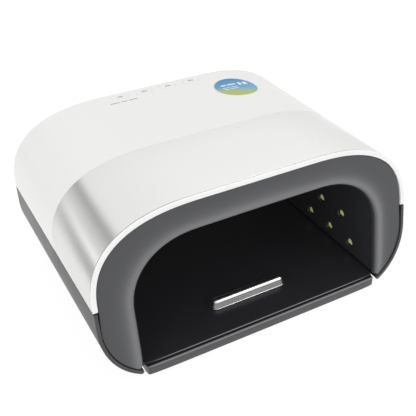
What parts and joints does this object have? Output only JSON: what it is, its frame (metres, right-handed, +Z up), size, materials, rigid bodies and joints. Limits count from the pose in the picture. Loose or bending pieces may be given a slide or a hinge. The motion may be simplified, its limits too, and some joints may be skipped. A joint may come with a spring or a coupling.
{
  "type": "uv led nail lamp",
  "caption": "Arched tabletop LED nail lamp with a wide hand opening, timer keys on top and a base tray that slides out.",
  "frame": {"origin": "on the table, at the middle of the lamp's footprint", "axes": "+X to the lamp's right as seen from its front, +Y from the hand opening to the rear, +Z up"},
  "size_m": [0.228, 0.173, 0.1104],
  "materials": {
    "white_plastic": "satin gloss, warm white moulded plastic",
    "steel_band": "brushed stainless sheet with fine streaks front to back",
    "bezel_grey": "satin dark grey moulded plastic",
    "housing_grey": "satin warm grey moulded plastic",
    "chamber_black": "glossy black plastic",
    "board_green": "solder mask over glass fibre board, with soldered chips",
    "black_plastic": "moulded black plastic",
    "polished_bar": "polished metal",
    "screw_steel": "plated steel",
    "rubber": "matte rubber",
    "badge_blue": "printed sticker, blue over yellow-green with a pale edge",
    "component": "potted electronic component",
    "lead_red": "insulated wire",
    "magnet": "plated magnet"
  },
  "bodies": {
    "lamp_body": {"top_shell": "white_plastic", "metal_band": "steel_band", "front_bezel": "bezel_grey", "bottom_housing": "housing_grey", "chamber_liner": "chamber_black", "chamber_rear_wall": "chamber_black", "left_led_board": "board_green", "right_led_board": "board_green", "roof_led_board": "board_green", "control_board": "board_green", "bulk_capacitor": "component", "driver_inductor_left": "component", "driver_inductor_right": "component", "microcontroller": "black_plastic", "hand_sensor_board": "board_green", "hand_sensor_emitter": "black_plastic", "hand_sensor_receiver": "black_plastic", "dc_jack": "black_plastic", "dc_lead": "lead_red", "left_led_lead": "lead_red", "right_led_lead": "lead_red", "roof_led_lead": "lead_red", "sensor_lead": "lead_red", "round_badge": "badge_blue", "housing_magnet_left": "magnet", "housing_magnet_right": "magnet", "housing_screw_front_left": "screw_steel", "control_board_screw_front_left": "screw_steel", "rubber_foot_front_left": "rubber", "housing_screw_rear_left": "screw_steel", "control_board_screw_rear_left": "screw_steel", "rubber_foot_rear_left": "rubber", "housing_screw_front_right": "screw_steel", "control_board_screw_front_right": "screw_steel", "rubber_foot_front_right": "rubber", "housing_screw_rear_right": "screw_steel", "control_board_screw_rear_right": "screw_steel", "rubber_foot_rear_right": "rubber", "tact_switch_10s": "black_plastic", "tact_switch_30s": "black_plastic", "tact_switch_60s": "black_plastic", "tact_switch_99s": "black_plastic"},
    "base_tray": {"tray_frame": "housing_grey", "tray_floor_panel": "chamber_black", "finger_rest_bar": "polished_bar", "tray_magnet_left": "magnet", "tray_magnet_right": "magnet"},
    "key_10s": {"timer_key_10s": "white_plastic", "switch_plunger_10s": "black_plastic"},
    "key_30s": {"timer_key_30s": "white_plastic", "switch_plunger_30s": "black_plastic"},
    "key_60s": {"timer_key_60s": "white_plastic", "switch_plunger_60s": "black_plastic"},
    "key_99s": {"timer_key_99s": "white_plastic", "switch_plunger_99s": "black_plastic"}
  },
  "joints": [
    {"name": "tray_slide", "type": "slide", "parent": "lamp_body", "child": "base_tray", "axis": [0, -1, 0], "range_m": [0, 0.15]},
    {"name": "key_10s_press", "type": "slide", "parent": "lamp_body", "child": "key_10s", "axis": [0, 0, -1], "range_m": [0, 0.0008], "stiffness_N_per_m": 1500, "springref_m": -0.0005},
    {"name": "key_30s_press", "type": "slide", "parent": "lamp_body", "child": "key_30s", "axis": [0, 0, -1], "range_m": [0, 0.0008], "stiffness_N_per_m": 1500, "springref_m": -0.0005},
    {"name": "key_60s_press", "type": "slide", "parent": "lamp_body", "child": "key_60s", "axis": [0, 0, -1], "range_m": [0, 0.0008], "stiffness_N_per_m": 1500, "springref_m": -0.0005},
    {"name": "key_99s_press", "type": "slide", "parent": "lamp_body", "child": "key_99s", "axis": [0, 0, -1], "range_m": [0, 0.0008], "stiffness_N_per_m": 1500, "springref_m": -0.0005}
  ]
}
